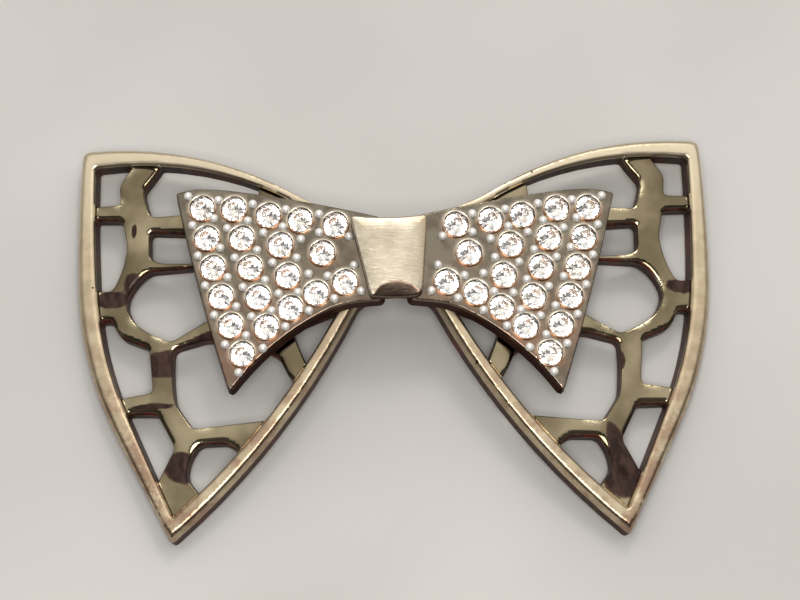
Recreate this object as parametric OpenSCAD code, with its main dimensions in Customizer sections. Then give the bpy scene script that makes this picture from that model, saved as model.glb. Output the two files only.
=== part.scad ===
// Bow brooch: two openwork cast wings with raised rims, two plates set with round brilliants and
// shot beads, a domed knot over the middle, and a plain pin across the back.
// It lies face up on its rims: X runs across the bow, Y up it, Z out of its face.
// Tables in percent: 0 across is the bow's middle, 100 the wing's outer edge;
// 0 along is the lower tip, 100 the top edge.

/* [Wings] */
// Width of one wing, from the bow's middle to its outer edge
wing_w = 32; // [29:0.5:35]
// Height of a wing, from its lower tip to its top edge
wing_h = 40.8; // [38:0.2:44]
// Slope of each wing, down from the middle to its outer edge, in degrees
wing_slope = 8; // [6:0.5:10]
// Slope of the whole bow, down from its top edge to its tips, in degrees
bow_slope = 2.9; // [2:0.1:4]
// Width of the raised rim at its foot
rim_w = 2.1; // [1.8:0.1:2.4]
// Height of the rim, back to front
rim_h = 2.8; // [2.4:0.1:3.4]
// Height of the openwork's face above the wing's back
web_top = 2.2; // [1.8:0.1:2.4]
// Height of the openwork's underside above the wing's back
web_under = 0.3; // [0.2:0.1:0.6]
// Rounding of the openings' corners
cell_round = 0.5; // [0.2:0.1:0.8]

/* [Stone plates] */
// Thickness of the plates that hold the stones
plate_t = 1.6; // [1.4:0.1:2]
// How much wider a plate's foot is than its face, on each side
plate_flare = 0.25; // [0.1:0.05:0.4]
// Bevel round a plate's face
plate_edge = 0.1; // [0.05:0.05:0.2]
// Turn of both plates on the wings, clockwise, in degrees
plate_turn = 1; // [0:0.5:2]
// Diameter of a shot bead
bead_d = 0.95; // [0.8:0.05:1]
// Height of a bead's middle above the plate's face
bead_rise = 0.1; // [0.05:0.05:0.2]
// Distance of the border's beads from the line between their stones
bead_offset = 1.2; // [1:0.05:1.3]
// The same distance above the top row of stones
top_bead_offset = 0.85; // [0.8:0.05:1.1]
// Distance of the corner beads from their stone
corner_bead_offset = 1.9; // [1.75:0.05:2.1]

/* [Stones] */
// Diameter of a stone at its girdle
stone_d = 2.4; // [2:0.1:2.6]
// Clearance between a stone and its seat
stone_gap = 0.04; // [0.03:0.01:0.08]
// Height of a stone's girdle above the plate's face
girdle_rise = 0.05; // [0.05:0.05:0.15]
// Wall of the collar round each stone
collar_wall = 0.2; // [0.15:0.05:0.3]
// Height of the collar above the plate's face
collar_h = 0.2; // [0.1:0.05:0.3]

/* [Knot] */
// Width of the knot at its top
knot_top_w = 7.6; // [7:0.1:8.4]
// Width of the knot at its foot
knot_foot_w = 5.1; // [4.4:0.1:6]
// Height of the knot, up the bow
knot_h = 8.1; // [7.6:0.1:8.8]
// Height of the knot's crown above the plates at the bow's middle
knot_crown = 1.5; // [1.2:0.1:2]
// How far the knot's top leans to the left of its foot
knot_lean = 0.6; // [0:0.1:1]
// How far the knot's edge reaches below the plates' faces at the bow's middle
knot_skirt = 0.6; // [0.4:0.1:0.8]
// Rounding of the knot's lower right corner; the others are crisper
knot_round = 0.9; // [0.6:0.1:1.2]

/* [Pin] */
// Diameter of the pin's stem
stem_d = 0.9; // [0.8:0.05:1.2]
// Distance between the middles of the two posts
post_pitch = 26; // [22:1:28]
// Width of a post across the bow
post_w = 3; // [2.4:0.2:4]
// Width of a post up the bow
post_t = 2.2; // [1.8:0.2:3]
// Height of the stem's middle above what the bow rests on
stem_rise = 1.3; // [1:0.1:1.6]

/* [Fit] */
// Gap between neighbouring pieces
piece_gap = 0.08; // [0.06:0.01:0.12]

/* [Hidden] */
$fn = 48;
// Straight pieces to a curved edge, and to a rounded corner
edge_steps = 10;
corner_steps = 4;
// How far the tip lies below the knot's foot line, where along is zero millimetres
tip_drop = 24 / 40.8 * wing_h;

// Columns: across, along, bulge outwards as a share of the side that starts here,
// corner rounding in percent of wing_w, rim width as a share of rim_w. Anticlockwise.
WING = [
    [26.5,  84,   0,     4.7, 0.40],
    [2,     76,   0,     0.9, 0.40],
    [2,     61,   0,     0.9, 0.52],
    [11.5,  56.5, 0.05,  0.9, 0.70],
    [70.5,  0,    0,     1.6, 0.66],
    [89.5,  29.5, 0.05,  7.8, 0.97],
    [100,   65,   0.01,  7.8, 0.97],
    [98.5,  100,  0.083, 2.6, 0.72],
];

// Section of the rim. Columns: inset from the foot's edge as a share of its width,
// height as a share of rim_h.
RIM = [
    [0,    0],
    [0,    0.64],
    [0.11, 0.84],
    [0.27, 0.96],
    [0.60, 1],
    [0.90, 0.97],
    [1,    0.88],
    [1,    0],
];

// Openings in the openwork, from the top corner to the tip. Columns: across, along, bulge.
// Sides beyond the rim's inner edge are only there to reach under the rim.
CELLS = [
    [[97, 99.5, 0], [79, 99, 0], [86.5, 90.5, 0], [86, 85.5, 0], [97, 85.5, 0]],
    [[70.5, 98, 0], [41, 93, 0], [42.5, 82.5, 0], [76.5, 82, 0.03], [79, 89, -0.03]],
    [[97, 82, 0], [85.5, 81.5, 0], [84, 75, 0.06], [89, 63.5, 0], [97, 64, 0]],
    [[77, 78, 0], [63, 77, 0], [62.5, 69.5, 0], [73, 70, 0.05], [77, 71.5, 0]],
    [[58, 68.5, 0], [56, 56, 0], [70, 50, 0.04], [80, 54, 0.1], [84.5, 60.5, 0.1], [77, 68, 0]],
    [[97, 56, 0], [89, 56, 0], [86, 51.5, 0], [77, 48.5, 0], [76, 37.5, 0], [90, 36, 0]],
    [[69.5, 48, 0], [59, 50, 0], [42, 47.5, 0], [36, 44.5, 0], [33, 39.5, 0], [28, 36, 0],
     [36, 29.5, 0], [63.5, 28, 0], [69, 34.5, 0.03]],
    [[32, 51.5, 0], [14, 56.5, 0], [19, 48, 0], [27, 41, 0], [31, 49, 0]],
    [[90, 32.5, 0], [74.5, 32, 0], [69, 23.5, 0], [76, 13, 0]],
    [[61.5, 24, 0], [53, 24, 0], [44, 19, 0], [59, 9, 0], [65.5, 16, 0.04], [64.5, 20.5, 0.04]],
];

// Outline of a stone plate. Columns: across, along, bulge, corner rounding in percent of
// wing_w. Anticlockwise.
PLATE = [
    [67.3, 85,   0.05,  0.6],
    [55,   85.8, 0.014, 6.3],
    [3,    77,   0,     0.9],
    [3,    56.5, 0,     0.9],
    [15,   56,  -0.07,  4.7],
    [50,   35,   0.012, 1.2],
];

// Columns of stones, from the tail to the knot. Columns: number of stones, then across and
// along of the top and of the lowest stone, and the column's bow away from the knot.
STONE_COLUMNS = [
    [6, 59,   81,   46,   44,   0.036],
    [5, 49,   80.5, 38.5, 50.5, 0],
    [4, 38,   78.5, 31,   55,  -0.055],
    [3, 28,   77,   23,   58.5, -0.19],
    [2, 17,   75.5, 14,   61,   0],
];

function total(list, n) = n == 0 ? 0 : list[n - 1] + total(list, n - 1);
STONES = total([for (column = STONE_COLUMNS) column[0]], len(STONE_COLUMNS));
SIDES = [["left", -1], ["right", 1]];

function stone_name(side, i) = str("stone_", side, i < 9 ? "_0" : "_", i + 1);

// A table's row as a place on the wing, in millimetres
function place(row) = [row[0] / 100 * wing_w, row[1] / 100 * wing_h - tip_drop];

function unit(v) = v / norm(v);
function left_of(v) = [-v.y, v.x];
function ring_item(list, i) = list[(i + len(list)) % len(list)];

// The corners moved inwards, each by its own distance from both of its sides
function inset(corners, by) = [
    for (i = [0 : len(corners) - 1])
        let (a = left_of(unit(corners[i] - ring_item(corners, i - 1))))
        let (b = left_of(unit(ring_item(corners, i + 1) - corners[i])))
        corners[i] + (a + b) * by[i] / (1 + a * b)
];

// A point on the side from p to q that bulges to its right by a share of its length
function bend(p, q, bulge, t) = p + (q - p) * t - left_of(q - p) * 4 * bulge * t * (1 - t);
function corner(a, tip, b, t) = a * (1 - t) ^ 2 + tip * 2 * t * (1 - t) + b * t ^ 2;

// A closed outline through the corners, with bulged sides and rounded corners
function outline(corners, bulges, rounds) = [
    for (i = [0 : len(corners) - 1])
        let (p = corners[i], q = ring_item(corners, i + 1), r = ring_item(corners, i + 2))
        let (bulge = bulges[i], next_bulge = ring_item(bulges, i + 1))
        let (from = min(0.45, rounds[i] / norm(q - p)))
        let (to = 1 - min(0.45, ring_item(rounds, i + 1) / norm(q - p)))
        let (next_from = min(0.45, ring_item(rounds, i + 1) / norm(r - q)))
        let (steps = bulge == 0 ? 1 : edge_steps)
        each concat(
            [for (k = [0 : steps]) bend(p, q, bulge, from + (to - from) * k / steps)],
            [for (k = [1 : corner_steps - 1])
                corner(bend(p, q, bulge, to), q, bend(q, r, next_bulge, next_from),
                       k / corner_steps)]
        )
];

function column(table, i) = [for (row = table) row[i]];

// The wing's outline, inset by a distance that narrows with the rim
function wing_line(by) = outline(
    inset([for (row = WING) place(row)], column(WING, 4) * by),
    column(WING, 2),
    [for (row = WING) max(0.005 * wing_w, row[3] / 100 * wing_w - row[4] * by)]
);

function plate_line(by) = outline(
    inset([for (row = PLATE) place(row)], [for (row = PLATE) by]),
    column(PLATE, 2),
    column(PLATE, 3) / 100 * wing_w
);

// Sides between two loops of n points, as two triangles to each step
function wall(low, high, n) = [
    for (i = [0 : n - 1], half = [0, 1])
        let (j = (i + 1) % n)
        half == 0 ? [low + i, high + j, low + j] : [low + i, high + i, high + j]
];

// A solid through a stack of loops with as many points each, from the bottom up
module stack(loops) {
    n = len(loops[0]);
    last = len(loops) - 1;
    polyhedron(
        points = [for (loop = loops) each loop],
        faces = concat(
            [[for (i = [0 : n - 1]) i]],
            [[for (i = [n - 1 : -1 : 0]) last * n + i]],
            [for (k = [0 : last - 1]) each wall(k * n, (k + 1) * n, n)]
        )
    );
}

// A closed ring whose section runs through the loops, up the outside and down the inside
module ring(loops) {
    n = len(loops[0]);
    m = len(loops);
    polyhedron(
        points = [for (loop = loops) each loop],
        faces = [for (k = [0 : m - 1]) each wall(k * n, (k + 1) % m * n, n)]
    );
}

function raised(line, z) = [for (p = line) [p.x, p.y, z]];

// Where the back of the wing's outer line comes to when the wing is tilted
BACK_LINE = [
    for (p = wing_line(0))
        [
            p.y * cos(bow_slope) + p.x * sin(wing_slope) * sin(bow_slope),
            p.y * sin(bow_slope) - p.x * sin(wing_slope) * cos(bow_slope),
        ]
];
// The rim's wall leans out over the tips
tip_lean = RIM[1][1] * rim_h * cos(wing_slope) * sin(bow_slope);
bow_shift = (tip_lean - min(column(BACK_LINE, 0)) - max(column(BACK_LINE, 0))) / 2;
bow_lift = -min(column(BACK_LINE, 1));

// The children lie on a wing whose back is at height 0, with X outwards
module on_wing(side) {
    translate([0, bow_shift, bow_lift])
        mirror([side < 0 ? 1 : 0, 0, 0])
            rotate([bow_slope, 0, 0])
                rotate([0, wing_slope, 0])
                    children();
}

// The children lie on a plate, turned with it
module on_plate(side) {
    on_wing(side)
        rotate([0, 0, -side * plate_turn])
            children();
}

module cell(rows) {
    n = len(rows);
    polygon(outline([for (row = rows) place(row)], column(rows, 2), [for (row = rows) cell_round]));
}

module wing(side) {
    color([0.80, 0.70, 0.54])
        on_wing(side) {
            ring([for (row = RIM) raised(wing_line(row[0] * rim_w), row[1] * rim_h)]);
            translate([0, 0, web_under])
                linear_extrude(web_top - web_under)
                    difference() {
                        polygon(wing_line(0.7 * rim_w));
                        for (rows = CELLS)
                            cell(rows);
                    }
        }
}

// Stones and beads

plate_foot = rim_h + piece_gap;
plate_face = plate_foot + plate_t;

function column_point(row, t) =
    bend(place([row[1], row[2]]), place([row[3], row[4]]), -row[5], t);
function column_step(row) = 1 / (row[0] - 1);

COLUMNS = [
    for (row = STONE_COLUMNS)
        [for (i = [0 : row[0] - 1]) column_point(row, i * column_step(row))]
];
STONE_PLACES = [for (stones = COLUMNS) each stones];
LAST = len(COLUMNS) - 1;

// A bead stands in the middle of every three stones that lie together in neighbouring columns
INNER_BEADS = [
    for (c = [0 : LAST - 1])
        let (a = COLUMNS[c], b = COLUMNS[c + 1])
        each concat(
            [for (i = [0 : len(b) - 1]) (a[i] + a[i + 1] + b[i]) / 3],
            [for (i = [0 : 1 : len(b) - 2]) (b[i] + b[i + 1] + a[i + 1]) / 3]
        )
];

// The stones round the field's border, clockwise from the tail's top corner
BORDER = concat(
    COLUMNS[0],
    [for (c = [1 : LAST]) COLUMNS[c][len(COLUMNS[c]) - 1]],
    [for (c = [LAST : -1 : 1]) COLUMNS[c][0]]
);

// Beads outside the border stand off the line between its stones, two where they lie far apart
TOP_START = len(COLUMNS[0]) + LAST;
BORDER_BEADS = [
    for (i = [0 : len(BORDER) - 1])
        let (p = BORDER[i], q = ring_item(BORDER, i + 1))
        let (n = max(1, round(norm(q - p) / (1.4 * stone_d))))
        let (reach = i < TOP_START ? bead_offset : top_bead_offset)
        for (k = [0 : n - 1])
            p + (q - p) * (k + 0.5) / n + left_of(unit(q - p)) * reach
];

// Beads at the field's corners, on the line that halves the corner
CORNER_BEADS = [
    for (i = [0, len(COLUMNS[0]) - 1, TOP_START - 1, TOP_START])
        let (before = unit(BORDER[i] - ring_item(BORDER, i - 1)))
        let (after = unit(ring_item(BORDER, i + 1) - BORDER[i]))
        BORDER[i] + unit(left_of(before + after)) * corner_bead_offset
];

function near(p, places, reach) = len([for (q = places) if (norm(p - q) < reach) q]) > 0;

// Whether p lies inside a closed line: the line crosses the way left of p an odd number of times
function inside(p, line) = len([
    for (i = [0 : len(line) - 1])
        let (a = line[i], b = ring_item(line, i + 1))
        if ((a.y > p.y) != (b.y > p.y) && p.x > a.x + (b.x - a.x) * (p.y - a.y) / (b.y - a.y)) i
]) % 2 == 1;

collar_d = stone_d + 2 * stone_gap + 2 * collar_wall;
bead_z = plate_face + bead_rise;
// Every bead that stands on its plate and clear of the stones
BEAD_FIELD = plate_line(0.44 * bead_d);
BEAD_REACH = (stone_d + 0.9 * bead_d) / 2;
BEAD_PLACES = [
    for (p = concat(INNER_BEADS, BORDER_BEADS, CORNER_BEADS))
        if (inside(p, BEAD_FIELD) && !near(p, STONE_PLACES, BEAD_REACH)) p
];

// Cut of a stone, as shares of its diameter
table_share = 0.56;
crown_share = 0.15;
girdle_share = 0.03;
pavilion_share = 0.40;
girdle_z = plate_face + girdle_rise;

// A brilliant with its girdle's upper edge at height 0
module brilliant(d) {
    ring_points = 16;
    polyhedron(
        points = concat(
            [for (i = [0 : 7])
                [cos(45 * i) * d * table_share / 2, sin(45 * i) * d * table_share / 2, d * crown_share]],
            [for (z = [0, -girdle_share], i = [0 : ring_points - 1])
                [cos(22.5 * i) * d / 2, sin(22.5 * i) * d / 2, z * d]],
            [[0, 0, -d * (girdle_share + pavilion_share)]]
        ),
        faces = concat(
            [[for (i = [7 : -1 : 0]) i]],
            [for (i = [0 : 7]) [i, (i + 1) % 8, 8 + 2 * i + 1]],
            [for (i = [0 : 7]) [i, 8 + 2 * i + 1, 8 + 2 * i]],
            [for (i = [0 : 7]) [(i + 1) % 8, 8 + (2 * i + 2) % 16, 8 + 2 * i + 1]],
            wall(8 + ring_points, 8, ring_points),
            [for (i = [0 : ring_points - 1])
                [8 + ring_points + i, 8 + ring_points + (i + 1) % ring_points, 8 + 2 * ring_points]]
        )
    );
}

// The room that a stone takes up in the plate, with its clearance
module seat() {
    r = stone_d / 2 + stone_gap;
    shoulder = -girdle_share * stone_d - stone_gap;
    depth = -pavilion_share * stone_d + shoulder;
    tip = 2 * stone_gap;
    rotate_extrude()
        polygon([[0, depth], [tip, depth], [r, shoulder], [r, stone_d], [0, stone_d]]);
}

// A shot bead, round above its middle and straight below it, down into the plate
module bead() {
    intersection() {
        sphere(d = bead_d);
        translate([-bead_d, -bead_d, 0])
            cube([2 * bead_d, 2 * bead_d, bead_d]);
    }
    translate([0, 0, -bead_rise - plate_edge])
        cylinder(h = bead_rise + plate_edge, d = bead_d);
}

module stone_plate(side) {
    color([0.78, 0.72, 0.62])
        on_plate(side)
            difference() {
                union() {
                    stack([
                        raised(plate_line(-plate_flare), plate_foot),
                        raised(plate_line(0), plate_face - plate_edge),
                        raised(plate_line(plate_edge), plate_face),
                    ]);
                    for (p = STONE_PLACES)
                        translate([p.x, p.y, plate_face - collar_h])
                            cylinder(h = 2 * collar_h, d = collar_d);
                    for (p = BEAD_PLACES)
                        translate([p.x, p.y, bead_z])
                            bead();
                }
                for (p = STONE_PLACES)
                    translate([p.x, p.y, girdle_z])
                        seat();
            }
}

module stone(side, i) {
    color([0.92, 0.93, 0.95])
        on_plate(side)
            translate([STONE_PLACES[i].x, STONE_PLACES[i].y, girdle_z])
                brilliant(stone_d);
}

// Knot

// Outline of the knot round its own middle, inset by a distance
function knot_line(by) =
    let (top = knot_top_w / 2, foot = knot_foot_w / 2, half = knot_h / 2, lean = knot_lean)
    outline(
        inset([[top - lean, half], [-top - lean, half], [-foot, -half], [foot, -half]],
              [by, by, by, by]),
        [-0.035, 0, 0.01, 0],
        [0.35, 0.3, 0.3, 1] * knot_round
    );

// Section of the knot's edge. Columns: inset as a share of half its foot's width,
// depth below the crown as a share of the crown's height.
KNOT = [
    [0,    1],
    [0.01, 0.46],
    [0.06, 0.27],
    [0.16, 0.14],
    [0.38, 0.05],
    [0.70, 0],
];

// Where the knot's middle lies up the bow, along as in the tables
knot_along = 66.6;
knot_y = place([0, knot_along]).y;

module knot() {
    color([0.80, 0.71, 0.56])
        difference() {
            translate([0, bow_shift, bow_lift])
                rotate([bow_slope, 0, 0])
                    translate([0, knot_y, plate_face])
                        stack(concat(
                            [raised(knot_line(0), -2 * knot_skirt)],
                            [for (row = KNOT)
                                raised(knot_line(row[0] * knot_foot_w / 2),
                                       knot_crown - row[1] * (knot_crown + knot_skirt))]
                        ));
            intersection_for(side = [-1, 1])
                on_plate(side)
                    translate([-wing_w, -wing_h, -wing_h])
                        cube([2 * wing_w, 2 * wing_h, wing_h + plate_face + piece_gap]);
            // Room for the beads beside the knot
            for (side = [-1, 1], p = BEAD_PLACES)
                if (p.x < knot_top_w)
                    on_plate(side)
                        translate([p.x, p.y, bead_z])
                            sphere(d = bead_d + 2 * piece_gap);
        }
}

// Pin

// Where the pin lies up the bow, along as in the tables
pin_along = 73.5;
pin_y = place([0, pin_along]).y + bow_shift;

module post(side) {
    difference() {
        translate([side * post_pitch / 2 - post_w / 2, pin_y - post_t / 2, 0])
            cube([post_w, post_t, 2 * bow_lift]);
        on_wing(side)
            translate([-wing_w, -wing_h, web_under - piece_gap])
                cube([3 * wing_w, 2 * wing_h, wing_h]);
    }
}

module pin_back() {
    color([0.74, 0.68, 0.58]) {
        post(-1);
        post(1);
        translate([-post_pitch / 2, pin_y, stem_rise])
            rotate([0, 90, 0])
                cylinder(h = post_pitch + post_w, d = stem_d);
        translate([post_pitch / 2 + post_w, pin_y, stem_rise])
            rotate([0, 90, 0])
                cylinder(h = 3 * stem_d, d1 = stem_d, d2 = 0.15 * stem_d);
    }
}

for (side = SIDES) {
    wing(side[1]);
    stone_plate(side[1]);
    for (i = [0 : STONES - 1])
        stone(side[1], i);
}
knot();
pin_back();
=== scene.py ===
import bpy
import numpy as np
from mathutils import Matrix, Vector
from mathutils.geometry import delaunay_2d_cdt


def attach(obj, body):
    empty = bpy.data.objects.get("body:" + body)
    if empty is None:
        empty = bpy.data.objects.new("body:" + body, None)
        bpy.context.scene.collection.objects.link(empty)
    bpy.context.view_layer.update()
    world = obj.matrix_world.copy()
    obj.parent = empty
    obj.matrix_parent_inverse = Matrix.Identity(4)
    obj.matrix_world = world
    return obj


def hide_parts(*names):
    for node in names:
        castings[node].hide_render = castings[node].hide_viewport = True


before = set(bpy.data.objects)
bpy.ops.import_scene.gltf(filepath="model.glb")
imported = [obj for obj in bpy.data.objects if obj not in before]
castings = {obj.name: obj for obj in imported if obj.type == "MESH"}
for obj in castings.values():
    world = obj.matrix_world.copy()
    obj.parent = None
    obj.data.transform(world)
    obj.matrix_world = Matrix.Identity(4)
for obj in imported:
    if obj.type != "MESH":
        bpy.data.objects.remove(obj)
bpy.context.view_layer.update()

# Wings
# Each wing is one zinc casting: a raised rim round a flat web that is cut through in ten openings.
# It is plated champagne, satin on the rim and glossy on the web, with red-brown lacquer and painted
# shade in the walls and painted dark reflections on the web, and lies on the lower edge of its rim.

# Sizes are in millimetres, and shapes are worked out on the flat right wing
MM = 0.001
SIDES = {"left": -1, "right": 1}
WING_SLOPE = np.radians(8)
BOW_SLOPE = np.radians(2.9)
# Heights above the wing's back. The outline and the openings are taken where the wall stands
# straight, and the rim's inner line higher up, where only the rim is left
RIM_HEIGHT = 2.8
WEB_FACE = 2.2
WEB_UNDERSIDE = 0.3
WALL_LEVEL = 1.25
RIM_LEVEL = 2.35
# How far the corners of each line are softened, and the least area of an opening
OUTLINE_BLUR = 0.14
CELL_BLUR = 0.13
INNER_BLUR = 0.1
LEAST_CELL = 0.3
# The rim's bevel and fall, in shares of its height and width, and the cove at its inner foot
BEVEL_FOOT = 0.64
BEVEL_WIDTH = 0.36
BEVEL_POWER = 2.3
FALL_FROM = 0.78
FALL_WIDTH = 0.22
FALL_DROP = 0.07
COVE_HEIGHT = 0.22
COVE_REACH = 0.11
COVE_INSET = 0.06
# The web: rounded edges, a low crown along each opening, and a roll along its upper side that
# carries a painted dark reflection, with painted gold glints at some edges
EDGE_ROUND = 0.11
WEB_CROWN = 0.11
CROWN_REACH = 1.1
WEB_ROLL = 0.14
ROLL_REACH = 0.45
LIP_REACH = 0.36
GLINT_WIDTH = 0.3
GLINT_REACH = 0.9
# Spacing of the net: along lines, in the grid between them, in rows beside the outline and the
# inner line, and in rows beside each opening, these in shares of the rounded edge
RIM_STEP = 0.2
WEB_STEP = 0.34
OUTER_ROWS = [0.05, 0.13, 0.25, 0.4, 0.6, 0.85]
INNER_ROWS = [0.3, 0.12, 0.0, -0.05, -0.09, -0.16, -0.25]
CELL_ROWS = [0.12, 0.35, 0.65, 1.0, 1.7, 2.6, 3.8]
GRID_FROM_INNER = 0.32
GRID_FROM_CELL = 0.2
LEAST_ROOM = 0.015
LEAST_POINTS = 24
WALL_ROWS = 8
# A point this close is on a line, and a triangle this small is a sliver along one
ON_LINE = 1e-4
LEAST_AREA = 2e-4
# Points worked on at once, so that the arrays of distances stay small
AT_ONCE = 400


def sloped(about_wing, about_bow):
    """Rotation that first dips a wing's outer edge, about Y, and then the bow's tips, about X."""
    c, s = np.cos(about_wing), np.sin(about_wing)
    dip = np.array([[c, 0, s], [0, 1, 0], [-s, 0, c]])
    c, s = np.cos(about_bow), np.sin(about_bow)
    return np.array([[1, 0, 0], [0, c, -s], [0, s, c]]) @ dip


WING_TURN = sloped(WING_SLOPE, BOW_SLOPE)


def flat_triangles(name, side, turn=WING_TURN):
    """A casting's triangles in millimetres, mirrored to the right side and turned back flat."""
    mesh = castings[name].data
    mesh.calc_loop_triangles()
    corners = np.empty(3 * len(mesh.loop_triangles), np.int32)
    mesh.loop_triangles.foreach_get("vertices", corners)
    places = np.empty(3 * len(mesh.vertices))
    mesh.vertices.foreach_get("co", places)
    return (places.reshape(-1, 3)[corners] / MM * [side, 1, 1] @ turn).reshape(-1, 3, 3)


WING_BACK = flat_triangles("wing_right", SIDES["right"])[..., 2].min()


def on_wing(points, side):
    """Flat points, with heights above the wing's back, laid on its slopes and mirrored."""
    return (points + [0, 0, WING_BACK]) @ WING_TURN.T * [side, 1, 1] * MM


def wing_triangles(name, side):
    """A casting's triangles on the flat right wing, with heights above the wing's back."""
    return flat_triangles(name, side) - [0, 0, WING_BACK]


def area(line):
    """Area inside a closed line, positive when it runs anticlockwise."""
    ahead = np.roll(line, -1, axis=0)
    return 0.5 * np.sum(line[:, 0] * ahead[:, 1] - ahead[:, 0] * line[:, 1])


def in_groups(work, points):
    """What a function gives for many points, worked out a group at a time."""
    groups = np.array_split(points, len(points) // AT_ONCE + 1)
    return np.concatenate([work(group) for group in groups])


def nearest_of(points, places):
    """Which of some places is nearest to each point."""

    def nearest(group):
        return np.argmin(np.linalg.norm(group[:, None] - places[None], axis=2), axis=1)

    return in_groups(nearest, points)


def level_lines(triangles, height):
    """Closed lines where a level plane cuts a solid, the largest first, all anticlockwise.
    Each triangle that is cut gives a piece from its rising to its falling edge, and every
    piece is followed by the one that starts nearest to its end."""
    above = triangles[..., 2] > height
    cut = triangles[above.any(axis=1) & ~above.all(axis=1)]
    ahead = np.roll(cut, -1, axis=1)
    is_above = cut[..., 2] > height
    will_be = ahead[..., 2] > height
    rise = np.where(is_above == will_be, 1, ahead[..., 2] - cut[..., 2])
    points = cut + ((height - cut[..., 2]) / rise)[..., None] * (ahead - cut)
    starts = points[~is_above & will_be][:, :2]
    ends = points[is_above & ~will_be][:, :2]
    follow = nearest_of(ends, starts)
    left, lines = set(range(len(starts))), []
    while left:
        at, line = min(left), []
        while at in left:
            left.remove(at)
            line.append(at)
            at = int(follow[at])
        lines.append(starts[line])
    lines = [line if area(line) > 0 else line[::-1] for line in lines if len(line) > 2]
    return sorted(lines, key=area, reverse=True)


def softened(line, step, blur):
    """A closed line in even steps, its corners rounded by a Gaussian blur along its length,
    which is a product with a bell curve in the line's Fourier transform."""
    closed = np.vstack([line, line[:1]])
    run = np.append(0, np.cumsum(np.linalg.norm(np.diff(closed, axis=0), axis=1)))
    count = max(LEAST_POINTS, int(run[-1] / step))
    places = np.arange(count) * run[-1] / count
    even = np.interp(places, run, closed[:, 0]) + 1j * np.interp(places, run, closed[:, 1])
    waves = np.fft.fftfreq(count, run[-1] / count)
    smooth = np.fft.ifft(np.fft.fft(even) * np.exp(-2 * (np.pi * waves * blur) ** 2))
    return np.column_stack([smooth.real, smooth.imag])


def moved_out(line, by):
    """An anticlockwise closed line moved to its right, along its normals, by a distance."""
    along = np.roll(line, -1, axis=0) - np.roll(line, 1, axis=0)
    along /= np.linalg.norm(along, axis=1)[:, None]
    return line + by * np.column_stack([along[:, 1], -along[:, 0]])


def reach(points, lines):
    """Distance from each point to the nearest of some closed lines: the shortest way to a
    piece p + t (q - p), with t held between 0 and 1."""
    starts = np.vstack(lines)
    pieces = np.vstack([np.roll(line, -1, axis=0) for line in lines]) - starts
    lengths = np.maximum(np.sum(pieces**2, axis=1), 1e-12)

    def shortest(group):
        apart = group[:, None] - starts[None]
        share = np.clip(np.sum(apart * pieces, axis=2) / lengths, 0, 1)
        return np.linalg.norm(apart - share[..., None] * pieces, axis=2).min(axis=1)

    return in_groups(shortest, points)


wing_solid = wing_triangles("wing_right", SIDES["right"])
wing_lines = level_lines(wing_solid, WALL_LEVEL)
rim_lines = level_lines(wing_solid, RIM_LEVEL)
outer_line = softened(wing_lines[0], RIM_STEP, OUTLINE_BLUR)
cell_lines = [
    softened(line, RIM_STEP, CELL_BLUR) for line in wing_lines[1:] if area(line) > LEAST_CELL
]
inner_line = softened(rim_lines[1], RIM_STEP, INNER_BLUR)
low_corner, high_corner = outer_line.min(axis=0), outer_line.max(axis=0)

# Hollows in the web, each with a painted dark reflection over it. Columns: across and along the
# wing as shares, half length and half width in millimetres, turn in degrees, slope
HOLLOWS = {
    "left": [
        [0.886, 0.611, 2.20, 1.00, 0, 0.10],
        [0.818, 0.645, 1.10, 1.50, 0, 0.06],
        [0.716, 0.441, 2.80, 1.60, 0, 0.10],
        [0.614, 0.491, 2.60, 0.60, -30, 0.06],
        [0.757, 0.337, 2.60, 0.32, 0, 0.12],
        [0.661, 0.181, 2.10, 1.80, 20, 0.07],
        [0.812, 0.785, 0.28, 0.80, 0, 0.10],
    ],
    "right": [
        [0.903, 0.619, 1.90, 0.85, 0, 0.10],
        [0.678, 0.152, 2.60, 3.30, 12, 0.07],
        [0.666, 0.226, 2.30, 0.90, -69, 0.07],
        [0.691, 0.428, 0.50, 1.10, 0, 0.06],
    ],
}
# Worn edges of openings painted bright gold as glints, as shares across and along the wing
WORN_GLINTS = {
    "left": [
        [0.840, 0.539], [0.730, 0.508], [0.804, 0.761], [0.587, 0.262],
        [0.491, 0.239], [0.814, 0.941], [0.850, 0.849],
    ],
    "right": [
        [0.640, 0.506], [0.772, 0.518], [0.867, 0.567], [0.729, 0.691], [0.828, 0.628],
        [0.788, 0.361], [0.790, 0.871], [0.710, 0.815], [0.588, 0.270],
    ],
}


def on_share(across, along):
    """A place on the flat wing from its shares of the wing's width and height."""
    return low_corner + np.array([across, along]) * (high_corner - low_corner)


def hollowed(points, hollows):
    """Height to add for hollows, slope times the way up from the middle, faded out by
    (1 - u^2 - v^2)^2 in the hollow's own length and width, and the strength of the painted dark
    reflection over them, the deepest 1 - u^2 - v^2."""
    height, dark_reflection = np.zeros(len(points)), np.zeros(len(points))
    for across, along, length, width, turn, slope in hollows:
        middle = on_share(across, along)
        c, s = np.cos(np.radians(turn)), np.sin(np.radians(turn))
        own = (points - middle) @ np.array([[c, -s], [s, c]]) / [length, width]
        fade = np.clip(1 - np.sum(own**2, axis=1), 0, 1)
        height += slope * fade**2 * (points - middle)[:, 1]
        dark_reflection = np.maximum(dark_reflection, fade)
    return height, dark_reflection


def rim_face(share):
    """Height of the rim across its width: a bevel up from its foot on the outside, by
    1 - (1 - share / width)^power, a flat crown, and a slight fall to the inside, by a square."""
    rise = 1 - np.clip(1 - share / BEVEL_WIDTH, 0, 1) ** BEVEL_POWER
    fall = FALL_DROP * np.clip((share - FALL_FROM) / FALL_WIDTH, 0, 1) ** 2
    return RIM_HEIGHT * (BEVEL_FOOT + (1 - BEVEL_FOOT) * rise - fall)


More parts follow.
